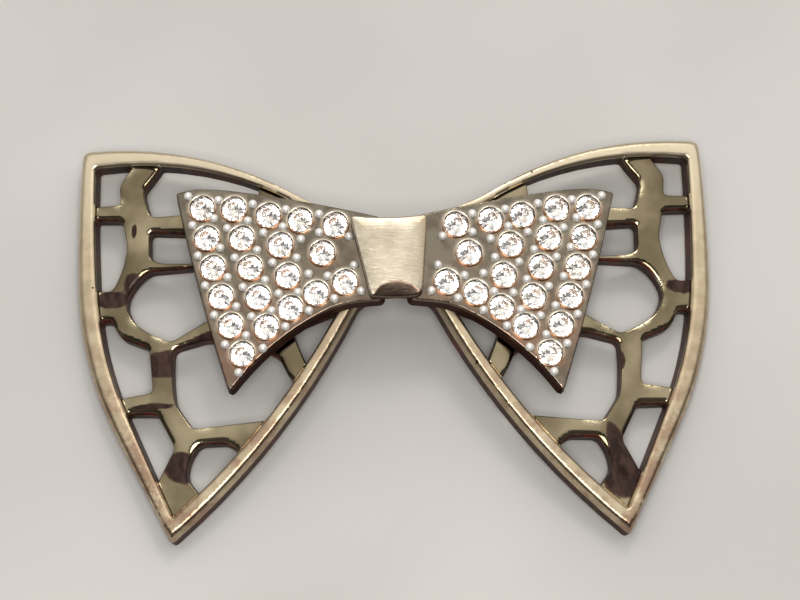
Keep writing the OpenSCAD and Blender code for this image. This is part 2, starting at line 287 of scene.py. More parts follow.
def quarter_round(share):
    """How far a rounded edge has dropped, as a share of its radius: 1 - sqrt(1 - 0.96 s^2),
    a quarter circle that stops a little short of upright."""
    return 1 - np.sqrt(1 - 0.96 * share**2)


def wing_face(points):
    """Height of the wing's front, and how much of it is rim: the rim where the inner line is
    beyond, the web inside it, a cove between them, and along each opening a low crown by
    (1 - distance / reach)^2 that ends in a quarter round."""
    from_outside = reach(points, [outer_line])
    from_inside = reach(points, [inner_line])
    from_cell = reach(points, cell_lines)
    on_rim = ~inside(points, moved_out(inner_line, -COVE_INSET))
    share = from_outside / np.maximum(from_outside + from_inside, 1e-6)
    cove = COVE_HEIGHT * np.exp(-((from_inside / COVE_REACH) ** 2))
    height = np.where(on_rim, rim_face(share), WEB_FACE + cove)
    crown = np.clip(1 - from_cell / CROWN_REACH, 0, 1) ** 2 * ~on_rim
    turn = np.clip(1 - from_cell / EDGE_ROUND, 0, 1)
    height -= WEB_CROWN * crown + EDGE_ROUND * quarter_round(turn)
    return height, on_rim.astype(float)


def inside(points, line):
    """Whether each point lies inside a closed line, which then crosses the level way to the
    point's left an odd number of times."""
    ahead = np.roll(line, -1, axis=0)
    low, high = line[None, :, 1], ahead[None, :, 1]

    def odd(group):
        level = group[:, 1:2]
        crossed = (low > level) != (high > level)
        rise = np.where(high == low, 1, high - low)
        at = line[None, :, 0] + (level - low) / rise * (ahead[None, :, 0] - line[None, :, 0])
        return np.sum(crossed & (group[:, :1] > at), axis=1) % 2 == 1

    return in_groups(odd, points)


def grid_over(line):
    """Points in a square grid over the box round a line."""
    ways = [np.arange(*ends, WEB_STEP) for ends in zip(line.min(axis=0), line.max(axis=0))]
    return np.stack(np.meshgrid(*ways), axis=-1).reshape(-1, 2)


def net(edges, loose):
    """Points and triangles of the area inside the first closed line and outside the others,
    through the loose points in it that have room. Triangles whose three points follow each
    other along a line, with hardly any area, are left out, or the wall there is doubled."""
    loose = loose[inside(loose, edges[0]) & (reach(loose, edges) > LEAST_ROOM)]
    sizes = [len(line) for line in edges]
    first = np.cumsum([0] + sizes[:-1])
    around = np.concatenate([
        start + np.column_stack([np.arange(size), (np.arange(size) + 1) % size])
        for start, size in zip(first, sizes)
    ])
    points = np.vstack([*edges, loose])
    found = delaunay_2d_cdt([Vector(p) for p in points], around.tolist(), [], 0, ON_LINE)
    flat = np.array([tuple(p) for p in found[0]])
    faces = np.array(found[2], int)
    a, b, c = (flat[faces[:, k]] for k in range(3))
    twice_area = (b - a)[:, 0] * (c - a)[:, 1] - (b - a)[:, 1] * (c - a)[:, 0]
    faces[twice_area < 0] = faces[twice_area < 0][:, ::-1]
    middles = (a + b + c) / 3
    on_line = reach(flat, edges) < ON_LINE
    kept = (np.abs(twice_area) > LEAST_AREA) | ~on_line[faces].all(axis=1)
    kept &= inside(middles, edges[0])
    for line in edges[1:]:
        kept &= ~inside(middles, line)
    used, faces = np.unique(faces[kept], return_inverse=True)
    return flat[used], faces.reshape(-1, 3)


def rim_of(faces):
    """The edges that only one triangle has, in that triangle's own direction."""
    edges = np.vstack([faces[:, [0, 1]], faces[:, [1, 2]], faces[:, [2, 0]]])
    order = np.sort(edges, axis=1)
    _, index, count = np.unique(order, axis=0, return_index=True, return_counts=True)
    return edges[index[count == 1]]


def ring_of(edges):
    """The points of some edges, each of them once, and which two of these each edge joins."""
    ring, slot = np.unique(edges, return_inverse=True)
    return ring, slot.reshape(-1, 2)


def wall_down(levels, slot):
    """Triangles of a wall through levels of a ring's points, two to each edge and level."""
    first, second = slot[:, 0], slot[:, 1]
    faces = []
    for upper, lower in zip(levels[:-1], levels[1:]):
        faces.append(np.column_stack([upper[first], lower[first], lower[second]]))
        faces.append(np.column_stack([upper[first], lower[second], upper[second]]))
    return np.vstack(faces)


def closed_casting(points, faces, front, back):
    """A closed solid between two height fields over one net, its edges joined by walls.
    Gives its points and triangles, and each point's share down the wall."""
    count = len(points)
    ring, slot = ring_of(rim_of(faces))
    shares = np.linspace(0, 1, WALL_ROWS + 1)[1:-1]
    walls = [
        np.column_stack([points[ring], front[ring] + share * (back[ring] - front[ring])])
        for share in shares
    ]
    levels = 2 * count + np.arange(len(shares) * len(ring)).reshape(len(shares), -1)
    sides = wall_down([ring, *levels, ring + count], slot)
    depth = np.r_[np.zeros(2 * count), np.repeat(shares, len(ring))]
    casting = np.vstack([np.column_stack([points, front]), np.column_stack([points, back]), *walls])
    return casting, np.vstack([faces, faces[:, ::-1] + count, sides]), depth


def made_piece(name, points, faces, material, values=None, sharp=40):
    """An object from whole arrays of points and faces, smooth but for edges sharper than an
    angle, with its values as attributes of its points. It rides on the brooch."""
    mesh = bpy.data.meshes.new(name)
    mesh.from_pydata(points.tolist(), [], faces.tolist())
    for key, numbers in (values or {}).items():
        mesh.attributes.new(key, "FLOAT", "POINT").data.foreach_set("value", numbers)
    mesh.shade_smooth()
    mesh.set_sharp_from_angle(angle=np.radians(sharp))
    mesh.materials.append(material)
    piece = bpy.data.objects.new(name, mesh)
    bpy.context.scene.collection.objects.link(piece)
    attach(piece, "root")
    return piece


rows = [moved_out(outer_line, -inset) for inset in OUTER_ROWS]
rows += [moved_out(inner_line, by) for by in INNER_ROWS]
rows += [moved_out(line, by * EDGE_ROUND) for line in cell_lines for by in CELL_ROWS]
grid = grid_over(outer_line)
grid = grid[reach(grid, [inner_line]) > GRID_FROM_INNER]
grid = grid[reach(grid, cell_lines) > GRID_FROM_CELL]
wing_net, wing_tiles = net([outer_line, *cell_lines], np.vstack([*rows, grid]))
wing_front, rim_share = wing_face(wing_net)

# Along the upper side of each opening the web rolls over, and a painted dark reflection lies on it
edge_points = np.vstack(cell_lines)
into_cell = edge_points - np.vstack([moved_out(line, 1) for line in cell_lines])
nearest_edge = nearest_of(wing_net, edge_points)
from_opening = reach(wing_net, cell_lines)
faces_down = np.clip(-into_cell[nearest_edge, 1], 0, 1) * (1 - rim_share)
wing_front -= WEB_ROLL * faces_down * np.clip(1 - from_opening / ROLL_REACH, 0, 1) ** 2
lip_reflection_share = faces_down * np.exp(-((from_opening / LIP_REACH) ** 2))
wing_back = np.where(rim_share > 0.5, 0, WEB_UNDERSIDE)


class Shade:
    """An output of a node in a material. Arithmetic on it adds Math nodes."""

    def __init__(self, tree, socket):
        self.tree = tree
        self.socket = socket

    def math(self, operation, first, second):
        """What a Math node makes of two values, such as their sum or the larger one."""
        return add(self.tree, "Math", {"operation": operation}, {0: first, 1: second})

    def __add__(self, other):
        return self.math("ADD", self, other)

    def __sub__(self, other):
        return self.math("SUBTRACT", self, other)

    def __mul__(self, other):
        return self.math("MULTIPLY", self, other)

    def __rsub__(self, other):
        return self.math("SUBTRACT", other, self)

    __radd__ = __add__
    __rmul__ = __mul__

    def step(self, low, high):
        """0 below low and 1 above high, with a smooth rise between them."""
        limits = {"From Min": low, "From Max": high, "Value": self}
        return add(self.tree, "MapRange", {"interpolation_type": "SMOOTHSTEP"}, limits)


def add(tree, kind, settings=None, sockets=None, output=0):
    """Adds a shader node, sets its settings and then its sockets, and gives one of its outputs,
    if it has any."""
    node = tree.nodes.new("ShaderNode" + kind)
    for key, value in (settings or {}).items():
        setattr(node, key, value)
    for key, value in (sockets or {}).items():
        if isinstance(value, Shade):
            tree.links.new(value.socket, node.inputs[key])
        else:
            node.inputs[key].default_value = value
    return Shade(tree, node.outputs[output]) if node.outputs else None


def blend(share, first, second):
    """A colour between two colours, by a share."""
    colours = [
        value if isinstance(value, Shade) else (*value, 1) for value in (first, second)
    ]
    sockets = {0: share, 6: colours[0], 7: colours[1]}
    return add(share.tree, "Mix", {"data_type": "RGBA"}, sockets, 2)


def new_material(name):
    """An empty material, its node tree, and places on the piece in millimetres."""
    material = bpy.data.materials.new(name)
    material.use_nodes = True
    tree = material.node_tree
    tree.nodes.clear()
    place = add(tree, "TexCoord", output=3)
    scale = {0: place, 1: (1 / MM,) * 3}
    return material, tree, add(tree, "VectorMath", {"operation": "MULTIPLY"}, scale)


def grain(place, scale, stretch=(1, 1, 1), detail=2.0, rough=0.5, seed=0.0):
    """Noise from 0 to 1 with so many lumps to a millimetre, stretched along the axes."""
    mapping = {"Vector": place, "Scale": stretch, "Location": (seed, -seed, 2 * seed)}
    own = add(place.tree, "Mapping", {}, mapping)
    sockets = {"Vector": own, "Scale": scale, "Detail": detail, "Roughness": rough}
    return add(place.tree, "TexNoise", {}, sockets)


def spots(place, middles, radius):
    """1 inside small round spots whose middles are given in millimetres, seen from the front."""
    tree = place.tree
    level = add(tree, "VectorMath", {"operation": "MULTIPLY"}, {0: place, 1: (1, 1, 0)})
    mask = 0.0
    for x, y in middles:
        sockets = {0: level, 1: (x, y, 0)}
        away = add(tree, "VectorMath", {"operation": "DISTANCE"}, sockets, 1)
        mask = (1 - away.step(0.45 * radius, radius)) + mask
    return mask


def bumped(tree, height, distance, strength=1.0, under=None):
    """A normal from a height in millimetres times a distance."""
    sockets = {"Height": height, "Distance": distance * MM, "Strength": strength}
    if under is not None:
        sockets["Normal"] = under
    return add(tree, "Bump", {}, sockets)


def finished(tree, colour, roughness, normal, fixed):
    """The principled shader of a piece, with what varies and what is the same all over."""
    sockets = {"Base Color": colour, "Roughness": roughness, **fixed}
    if normal is not None:
        sockets["Normal"] = normal
    add(tree, "OutputMaterial", {}, {"Surface": add(tree, "BsdfPrincipled", {}, sockets)})


def attribute(tree, name):
    """One of the values that made_piece keeps at a piece's points."""
    return add(tree, "Attribute", {"attribute_name": name}, output=2)


# Pits in the rims' casting, across and up the bow in millimetres
RIM_PITS = [(-30.34, 5.68), (16.74, 17.74), (14.05, 16.18), (7.84, -3.59)]
PIT_RADIUS = 0.19
# Colours of the plating, from its darker to its paler tone; the rim's top colour is a painted
# highlight and the gold a painted glint
SATIN = (0.455, 0.37, 0.25), (0.58, 0.48, 0.33)
SATIN_TOP_HIGHLIGHT = (0.68, 0.59, 0.43)
ROSE_LOW = (0.31, 0.20, 0.135)
GLOSS = (0.150, 0.120, 0.072), (0.310, 0.258, 0.165)
GLINT_GOLD = (0.95, 0.82, 0.53)
# Colours of the painted dark reflections at their edges, of the lacquer with painted shade in the
# walls, of the lacquer where it is redder, and of the painted dark reflections over the hollows
REFLECTION_EDGE = (0.095, 0.062, 0.038)
WALL_LACQUER_SHADE = (0.026, 0.009, 0.007), (0.07, 0.024, 0.016)
RED_LACQUER = (0.14, 0.018, 0.012)
DARK_REFLECTION = (0.018, 0.008, 0.007), (0.062, 0.033, 0.025)
PIT_DARK = (0.05, 0.03, 0.02)
# How much of the plating's colour and of its metal the lacquer and the painted shade hide, and the
# specular level
LACQUER_AND_SHADE_COVER = 0.96
LACQUER_AND_SHADE_DULLS = 0.95
LACQUER_SHINE = 0.05


def under_lacquer_and_shade(lacquer_and_shade, plating, over):
    """The colour, and the metallic share, of plating under a share of lacquer and painted shade."""
    return blend(lacquer_and_shade * LACQUER_AND_SHADE_COVER, plating, over), 1 - lacquer_and_shade * LACQUER_AND_SHADE_DULLS


def champagne_plate():
    """Champagne plating: satin on the rim, with a painted highlight along its top and rose towards
    the tip, glossy and olive on the web, bright gold in strokes along the openings' worn edges as
    painted glints, with dark red-brown lacquer and painted shade in the walls, and painted dark
    reflections along the openings' upper sides and over the web's hollows."""
    material, tree, place = new_material("champagne_plate")
    rim = attribute(tree, "rim")
    depth = attribute(tree, "depth")
    along = attribute(tree, "along")
    mottle = grain(place, 0.7, detail=4, seed=3)
    speckle = grain(place, 6.0, detail=3, seed=7)
    satin = blend(mottle.step(0.3, 0.7), *SATIN)
    # Painted highlight: the rim is paler along the bow's top
    satin = blend(along.step(0.72, 0.98) * 0.8, satin, SATIN_TOP_HIGHLIGHT)
    # Rose in patches, fading out towards the bow's top
    rose_patches = grain(place, 0.42, detail=5, rough=0.65, seed=19).step(0.40, 0.60)
    satin = blend(rose_patches * (1 - along.step(0.15, 0.75)) * 0.85, satin, ROSE_LOW)
    clouds = grain(place, 0.16, detail=3, seed=13).step(0.35, 0.65)
    colour = blend(rim, blend(clouds, *GLOSS), satin)
    # Painted glints: worn edges near the listed spots turn bright gold
    worn_glint = attribute(tree, "worn_glint") * speckle.step(0.36, 0.5)
    colour = blend(worn_glint, colour, GLINT_GOLD)
    wander = (grain(place, 0.8, (1, 0.6, 1), detail=4, rough=0.6, seed=17) - 0.5) * 0.6
    # Painted dark reflections over the web's hollows, with a softer painted edge round them
    dark_reflection = attribute(tree, "dark_reflection") + wander
    reflection_mask = dark_reflection.step(0.14, 0.44)
    colour = blend(dark_reflection.step(0.14, 0.28) * 0.75, colour, REFLECTION_EDGE)
    # Painted dark reflection along each opening's upper side, joined with the walls' lacquer and
    # painted shade
    lip_reflection_mask = (attribute(tree, "lip_reflection") + wander).step(0.45, 0.65)
    lacquer_and_shade = lip_reflection_mask.math("MAXIMUM", depth.step(0.02, 0.14), lip_reflection_mask)
    # The walls' red-brown lacquer, darkened as painted shade and redder in places, and the painted
    # dark reflections' own colours
    tint = blend(grain(place, 1.5, seed=5).step(0.4, 0.6), *WALL_LACQUER_SHADE)
    red = grain(place, 0.35, detail=1, seed=6).step(0.55, 0.66)
    tint = blend(red * 0.5, tint, RED_LACQUER)
    streaks = grain(place, 1.1, (1, 0.5, 1), detail=3, seed=29).step(0.38, 0.66)
    tint = blend(reflection_mask * 0.95, tint, blend(streaks, *DARK_REFLECTION))
    lacquer_and_shade = lacquer_and_shade.math("MAXIMUM", lacquer_and_shade, reflection_mask)
    colour, metal = under_lacquer_and_shade(lacquer_and_shade, colour, tint)
    pits = spots(place, RIM_PITS, PIT_RADIUS)
    # The rims' pits are darker
    colour = blend(pits * 0.8, colour, PIT_DARK)
    roughness = 0.05 + rim * 0.24 + speckle * 0.03 + lacquer_and_shade * 0.22 + worn_glint * 0.1
    soft = bumped(tree, grain(place, 0.22, detail=1, seed=2), 0.09, 0.5)
    height = speckle * (0.02 + rim * 0.6 + worn_glint * 2.5) + mottle * rim * 0.7 - pits * 6.0
    normal = bumped(tree, height, 0.010, 0.6, soft)
    coat = {"Coat Weight": reflection_mask * 0.15, "Coat Roughness": 0.08}
    fixed = {"Metallic": metal, "Specular IOR Level": LACQUER_SHINE, **coat}
    finished(tree, colour, roughness, normal, fixed)
    return material


champagne = champagne_plate()
along_share = (wing_net[:, 1] - low_corner[1]) / (high_corner[1] - low_corner[1])
for side_name, side in SIDES.items():
    dips, dark_reflection = hollowed(wing_net, HOLLOWS[side_name])
    front = wing_front + (1 - rim_share) * dips
    points, faces, depth = closed_casting(wing_net, wing_tiles, front, wing_back)
    # Painted glints of bright gold along the openings' worn edges, near the listed spots
    to_glint = np.linalg.norm(
        wing_net[:, None] - [on_share(*worn_glint) for worn_glint in WORN_GLINTS[side_name]], axis=2
    ).min(axis=1)
    worn_glint = np.exp(-((from_opening / GLINT_WIDTH) ** 2) - (to_glint / GLINT_REACH) ** 4)
    worn_glint *= 1 - rim_share
    # Each value for the front, the back and the walls. Rim and web differ less on the back, and
    # the walls lie halfway between them
    wall = np.zeros(len(points) - 2 * len(wing_net))
    piece = made_piece(
        "openwork_" + side_name,
        on_wing(points, side),
        faces[:, ::side],
        champagne,
        {
            "rim": np.concatenate([rim_share, rim_share * 0.6 + 0.3, wall + 0.5]),
            "along": np.concatenate([along_share, along_share, wall + 0.5]),
            "worn_glint": np.concatenate([worn_glint, 0 * worn_glint, wall]),
            "dark_reflection": np.concatenate([dark_reflection * (1 - rim_share), 0 * dark_reflection, wall]),
            "lip_reflection": np.concatenate([lip_reflection_share, 0 * lip_reflection_share, wall]),
            "depth": depth,
        },
    )
    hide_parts("wing_" + side_name)

# Stone plates
# A smaller casting stands on each web, with a cup and a thin collar for every stone, and shot
# beads raised between the stones. Its wall flares to its foot, where it is soldered down.

# Heights above the wing's back. The outline is taken just below the face, and the beads' places
# just above the collars
PLATE_FOOT = 2.88
PLATE_FACE = 4.48
OUTLINE_LEVEL = PLATE_FACE - 0.25
BEAD_LEVEL = PLATE_FACE + 0.3
PLATE_BLUR = 0.06
# The rounded edge, the net's rows along it, and the wall, which flares to its foot
PLATE_ROUND = 0.12
PLATE_ROWS = [0.03, 0.07, 0.12, 0.25]
PLATE_FLARE = 0.25
FLARE_ROWS = 5
# A point this close to the outline belongs to it
ON_OUTLINE = 0.01
COLLAR_RADIUS = 1.44
CUP_RADIUS = 1.24
# A row of the net round each collar, and how far and how much its paleness spreads on the face
COLLAR_ROW = 0.12
COLLAR_FADE = 0.12
COLLAR_FADE_SHARE = 0.6
ROUND_STEPS = 32
# Outline of a cup and its collar: radius, and height above the plate's face
CUP = np.array([
    [COLLAR_RADIUS, 0],
    [COLLAR_RADIUS, 0.10],
    [1.42, 0.165],
    [1.37, 0.195],
    [1.30, 0.195],
    [1.255, 0.165],
    [CUP_RADIUS, 0.10],
    [CUP_RADIUS, -0.06],
    [0.10, -1.02],
])
# A shot bead: its middle's height, and its outline from near its lowest point to near its top
BEAD_RADIUS = 0.45
BEAD_MIDDLE = PLATE_FACE + 0.1
BEAD_STEPS = 18
BEAD_ARC = np.radians(np.linspace(25, 172, 9))
BEAD = BEAD_RADIUS * np.column_stack([np.sin(BEAD_ARC), -np.cos(BEAD_ARC)])


def round_line(steps):
    """A closed line round a circle of radius 1: (cos a, sin a)."""
    turn = 2 * np.pi * np.arange(steps) / steps
    return np.column_stack([np.cos(turn), np.sin(turn)])


def circles(middles, radius):
    """A round closed line about each middle."""
    return list(middles[:, None] + radius * round_line(ROUND_STEPS))


def triangles_between(index):
    """Triangles between rows of points that run round, two to each place in a row. The last
    two axes of the index are the row and the place in it."""
    a, d = index[..., :-1, :], index[..., 1:, :]
    b, c = np.roll(a, -1, axis=-1), np.roll(d, -1, axis=-1)
    return np.vstack([np.stack(t, axis=-1).reshape(-1, 3) for t in ([a, b, c], [a, c, d])])


def turned(middles, outline, base, steps=ROUND_STEPS, closed_start=False):
    """Round forms about an upright axis through each middle. The outline's radii and heights
    run up the outside; its last ring, and its first if asked, is closed by a fan."""
    flat = middles[:, None, None] + outline[None, :, :1, None] * round_line(steps)
    height = np.broadcast_to(base + outline[None, :, 1, None, None], flat.shape[:3] + (1,))
    points = np.concatenate([flat, height], axis=3).reshape(-1, 3)
    index = np.arange(len(points)).reshape(len(middles), len(outline), steps)
    fan = np.column_stack([np.zeros(steps - 2, int), np.arange(1, steps - 1), np.arange(2, steps)])
    faces = [triangles_between(index), index[:, -1][:, fan].reshape(-1, 3)]
    if closed_start:
        faces.append(index[:, 0][:, fan[:, ::-1]].reshape(-1, 3))
    return points, np.vstack(faces)


# Colours of the plating, from its darker to its paler tone; the collars' amber and the walls'
# lacquer carry painted shade
TAUPE = (0.135, 0.113, 0.085), (0.200, 0.172, 0.130)
ROSY = (0.235, 0.135, 0.095)
COLLAR_PALE = (0.70, 0.62, 0.51)
COLLAR_AMBER_SHADE = (0.37, 0.205, 0.118)
SHOT_SILVER = (0.94, 0.91, 0.86), (1.0, 0.98, 0.94)
PLATE_LACQUER_SHADE = (0.040, 0.012, 0.008)


def taupe_plate():
    """Polished taupe plating on the plate, rosy towards the low corners, pale on the collars with
    a painted amber shade on their low sides, bright matt silver on the beads, and dark red-brown
    lacquer with painted shade down the walls."""
    material, tree, place = new_material("taupe_plate")
    collar = attribute(tree, "collar")
    bead = attribute(tree, "bead")
    depth = attribute(tree, "depth")
    mottle = grain(place, 0.6, detail=3, seed=21)
    speckle = grain(place, 7.0, detail=3, seed=22)
    low = attribute(tree, "low_side")
    face = blend(mottle.step(0.35, 0.65), *TAUPE)
    upwards = add(tree, "SeparateXYZ", {}, {0: place}, 1)
    rosy = grain(place, 0.3, detail=3, seed=26).step(0.3, 0.6) * (1 - upwards.step(-6, 9))
    face = blend(rosy * 0.75, face, ROSY)
    # Painted shade: amber in patches on the collars' low sides
    tarnish_and_shade = low.step(0.1, 0.85) * grain(place, 1.1, detail=3, seed=24).step(0.25, 0.5)
    colour = blend(collar, face, blend(tarnish_and_shade, COLLAR_PALE, COLLAR_AMBER_SHADE))
    colour = blend(bead, colour, blend(speckle.step(0.4, 0.6), *SHOT_SILVER))
    # The walls' lacquer is darkened as painted shade
    lacquer_and_shade = depth.step(0.05, 0.3)
    colour, metal = under_lacquer_and_shade(lacquer_and_shade, colour, PLATE_LACQUER_SHADE)
    roughness = 0.13 + speckle * 0.06 + collar * 0.04 + bead * 0.2 + lacquer_and_shade * 0.3
    soft = bumped(tree, grain(place, 0.5, detail=1, seed=23), 0.12, 0.5)
    normal = bumped(tree, speckle, 0.005, 0.6, soft)
    fixed = {"Metallic": metal * (1 - bead * 0.6), "Specular IOR Level": LACQUER_SHINE}
    finished(tree, colour, roughness, normal, fixed)
    return material


def stone_middles(side_name, side):
    """The names of a side's stones, and the middle of each one's box on the flat wing."""
    names = sorted(name for name in castings if name.startswith("stone_" + side_name))
    solids = [wing_triangles(name, side).reshape(-1, 3) for name in names]
    return names, np.array([(solid.min(axis=0) + solid.max(axis=0))[:2] / 2 for solid in solids])


def bead_middles(solid):
    """Where the beads stand: the middles of the round lines just above the collars."""
    lines = level_lines(solid, BEAD_LEVEL)
    return np.array([(line.min(axis=0) + line.max(axis=0)) / 2 for line in lines])


def plate_body(face_line, middles, cups):
    """The plate's face round its cups, with its edge rounded off, a wall that flares down to
    the foot, and a fan that closes the foot. Gives each point's share down the wall too."""
    rows = [moved_out(face_line, -inset) for inset in PLATE_ROWS]
    rows += circles(middles, COLLAR_RADIUS + COLLAR_ROW)
    points, faces = net([face_line, *cups], np.vstack([*rows, grid_over(face_line)]))
    # A cup that comes near the plate's edge keeps its ring at the height of the face
    round_off = np.clip(1 - reach(points, [face_line]) / PLATE_ROUND, 0, 1)
    round_off *= reach(points, cups) > ON_LINE
    front = PLATE_FACE - PLATE_ROUND * quarter_round(round_off)
    # The wall runs down from the outline alone, because the cups close the openings in the face
    edge = rim_of(faces)
    on_outline = reach(points, [face_line]) < ON_OUTLINE
    ring, slot = ring_of(edge[on_outline[edge].all(axis=1)])
    outwards = (moved_out(face_line, 1) - face_line)[nearest_of(points[ring], face_line)]
    shares = np.linspace(0, 1, FLARE_ROWS + 1)[1:]
    walls = [
        np.column_stack([
            points[ring] + PLATE_FLARE * share * outwards,
            front[ring] + share * (PLATE_FOOT - front[ring]),
        ])
        for share in shares
    ]
    hub = [*points[ring].mean(axis=0), PLATE_FOOT]
    body = np.vstack([np.column_stack([points, front]), *walls, hub])
    levels = len(points) + np.arange(FLARE_ROWS * len(ring)).reshape(FLARE_ROWS, -1)
    first, second = levels[-1][slot[:, 0]], levels[-1][slot[:, 1]]
    foot = np.column_stack([second, first, np.full(len(slot), len(body) - 1)])
    depth = np.r_[np.zeros(len(points)), np.repeat(shares, len(ring)), 1.0]
    return body, np.vstack([faces, wall_down([ring, *levels], slot), foot]), depth


taupe = taupe_plate()
stones = {}
for side_name, side in SIDES.items():
    solid = wing_triangles("stone_plate_" + side_name, side)
    face_line = softened(level_lines(solid, OUTLINE_LEVEL)[0], RIM_STEP, PLATE_BLUR)
    stones[side_name] = stone_middles(side_name, side)
    middles = stones[side_name][1]
    cups = circles(middles, COLLAR_RADIUS)
    body, body_faces, depth = plate_body(face_line, middles, cups)
    cup_points, cup_faces = turned(middles, CUP, PLATE_FACE)
    bead_points, bead_faces = turned(bead_middles(solid), BEAD, BEAD_MIDDLE, BEAD_STEPS, True)
    points = np.vstack([body, cup_points, bead_points])
    cup_faces += len(body)
    bead_faces += len(body) + len(cup_points)
    counts = [len(body), len(cup_points), len(bead_points)]
    is_cup, is_bead = np.repeat([[0.0, 1.0, 0.0], [0.0, 0.0, 1.0]], counts, axis=1)
    depth = np.r_[depth, np.zeros(len(points) - len(depth))]
    # The face is pale close to the collars too
    on_face = np.flatnonzero(depth[: len(body)] == 0)
    to_cup = reach(points[on_face, :2], cups)
    is_cup[on_face] = np.exp(-((to_cup / COLLAR_FADE) ** 2)) * COLLAR_FADE_SHARE
    from_middle = points[:, :2] - middles[nearest_of(points[:, :2], middles)]
    away = np.maximum(np.linalg.norm(from_middle, axis=1), 1e-6)
    piece = made_piece(
        "stone_field_" + side_name,
        on_wing(points, side),
        np.vstack([body_faces, cup_faces, bead_faces])[:, ::side],
        taupe,
        {
            "collar": is_cup,
            "low_side": 0.5 - 0.5 * from_middle[:, 1] / away,
            "bead": is_bead,
            "depth": depth,
        },
    )
    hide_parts("stone_plate_" + side_name)

# Stones
# Round brilliants of clear glass, 2.4 mm across, each in its cup. Their backs are silvered, so
# they send back the light from above in bright and dark facets.

STONE_RADIUS = 1.2
GIRDLE = PLATE_FACE + 0.05
# Each stone is turned its own way and leans by a slope of about this much
STONE_LEAN = 0.018


def brilliant():
    """Points and faces of a round brilliant of radius 1, its girdle's upper edge at height 0,
    and which faces are silvered. Rings of eight or sixteen points stand on the planes of the
    kites between them."""
    table, crown, belt, depth = 0.57, 0.30, 0.05, 0.80
    star, low = 0.80, 0.24
    half_turn = np.radians(22.5)
    tilt = np.cos(half_turn)
    crown_star = crown * (1 - star * tilt) / (1 - table)
    low_height = -depth - belt + depth * low * tilt
    eighths = np.radians(45 * np.arange(8)) + half_turn
    sixteenths = np.radians(22.5 * np.arange(16)) + half_turn

    def ring(radius, turns, height):
        return np.column_stack([
            radius * np.cos(turns), radius * np.sin(turns), np.full(len(turns), height)
        ])

    points = np.vstack([
        ring(table, eighths, crown),
        ring(star, eighths + half_turn, crown_star),
        ring(1, sixteenths, 0),
        ring(1, sixteenths, -belt),
        ring(low, eighths + half_turn, low_height),
        [[0, 0, -depth - belt]],
    ])
    # Where each eighth's points start in the rings, at its own corner and at the next one
    at, after = np.arange(8), (np.arange(8) + 1) % 8
    corner, next_corner = at, after
    tip, next_tip = 8 + at, 8 + after
    upper, upper_half, next_upper = 16 + 2 * at, 17 + 2 * at, 16 + 2 * after
    lower, lower_half, next_lower = 32 + 2 * at, 33 + 2 * at, 32 + 2 * after
    low_tip, last_low_tip = 48 + at, 48 + (at - 1) % 8
    culet = np.full(8, 56)
    clear = [
        [np.zeros(6, int), np.arange(1, 7), np.arange(2, 8)],
        [corner, tip, next_corner],
        [next_corner, tip, next_upper],
        [next_corner, next_upper, next_tip],
        [tip, upper, upper_half],
        [tip, upper_half, next_upper],
        [upper, lower, lower_half],
        [upper, lower_half, upper_half],
        [upper_half, lower_half, next_lower],
        [upper_half, next_lower, next_upper],
    ]
    silvered = [
        [low_tip, lower_half, lower],
        [low_tip, next_lower, lower_half],
        [culet, low_tip, lower],
        [culet, lower, last_low_tip],
    ]
    clear = np.vstack([np.column_stack(corners) for corners in clear])
    silvered = np.vstack([np.column_stack(corners) for corners in silvered])
    return points, np.vstack([clear, silvered]), np.repeat([0, 1], [len(clear), len(silvered)])


def clear_glass():
    """Clear cut glass, with faint haze and scratches in its polish."""
    material, tree, place = new_material("clear_glass")
    haze = grain(place, 3.0, detail=3, seed=31)
    colour = blend(haze, (0.97, 0.97, 0.98), (1.0, 1.0, 1.0))
    fixed = {"Transmission Weight": 1.0, "IOR": 1.57}
    finished(tree, colour, 0.01 + haze * 0.04, None, fixed)
    return material


def silvered_back():
    """Mirror foil behind the glass, a little warm where it is tarnished."""
    material, tree, place = new_material("silvered_back")
    tarnish_and_shade = grain(place, 1.2, detail=2, seed=33).step(0.45, 0.75)
    colour = blend(tarnish_and_shade, (0.95, 0.95, 0.95), (0.88, 0.80, 0.70))
    finished(tree, colour, 0.16 + tarnish_and_shade * 0.10, None, {"Metallic": 1.0})
    return material


glass, foil = clear_glass(), silvered_back()
cut_points, cut_faces, is_silvered = brilliant()
rng = np.random.default_rng(5)
for side_name, side in SIDES.items():
    for name, middle in zip(*stones[side_name]):
        turn, lean_x, lean_y = rng.uniform(0, 2 * np.pi), *rng.normal(0, STONE_LEAN, 2)
        c, s = np.cos(turn), np.sin(turn)
        set_points = cut_points @ np.array([[c, s, 0], [-s, c, 0], [0, 0, 1]]) * STONE_RADIUS
        set_points[:, 2] += set_points[:, 0] * lean_x + set_points[:, 1] * lean_y
        set_points += [*middle, GIRDLE]
        own_name = name.replace("stone", "brilliant")
        places = on_wing(set_points, side)
        piece = made_piece(own_name, places, cut_faces[:, ::side], glass, sharp=1)
        piece.data.materials.append(foil)
        piece.data.polygons.foreach_set("material_index", is_silvered)
        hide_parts(name)

# Knot
# A band of sheet metal bent over the bow's middle, brushed across, wider at its top than at its
# foot, where its face rolls under. Its walls come down on both stone plates.

KNOT_TURN = sloped(0, BOW_SLOPE)
# The outline is taken this far below the crown, and moved out to where the wall stands
KNOT_LEVEL = 0.85
KNOT_STEP = 0.12
KNOT_BLUR = 0.05
KNOT_OUT = 0.10
# How far below the crown the wall ends at the bow's middle
KNOT_SIDE = 1.46
KNOT_WALL_ROWS = 4
# The face's rings: how many, how much they crowd to the edge, and how far in the last one lies
KNOT_ROWS = 34
KNOT_CROWDING = 1.8
KNOT_INNERMOST = 0.985
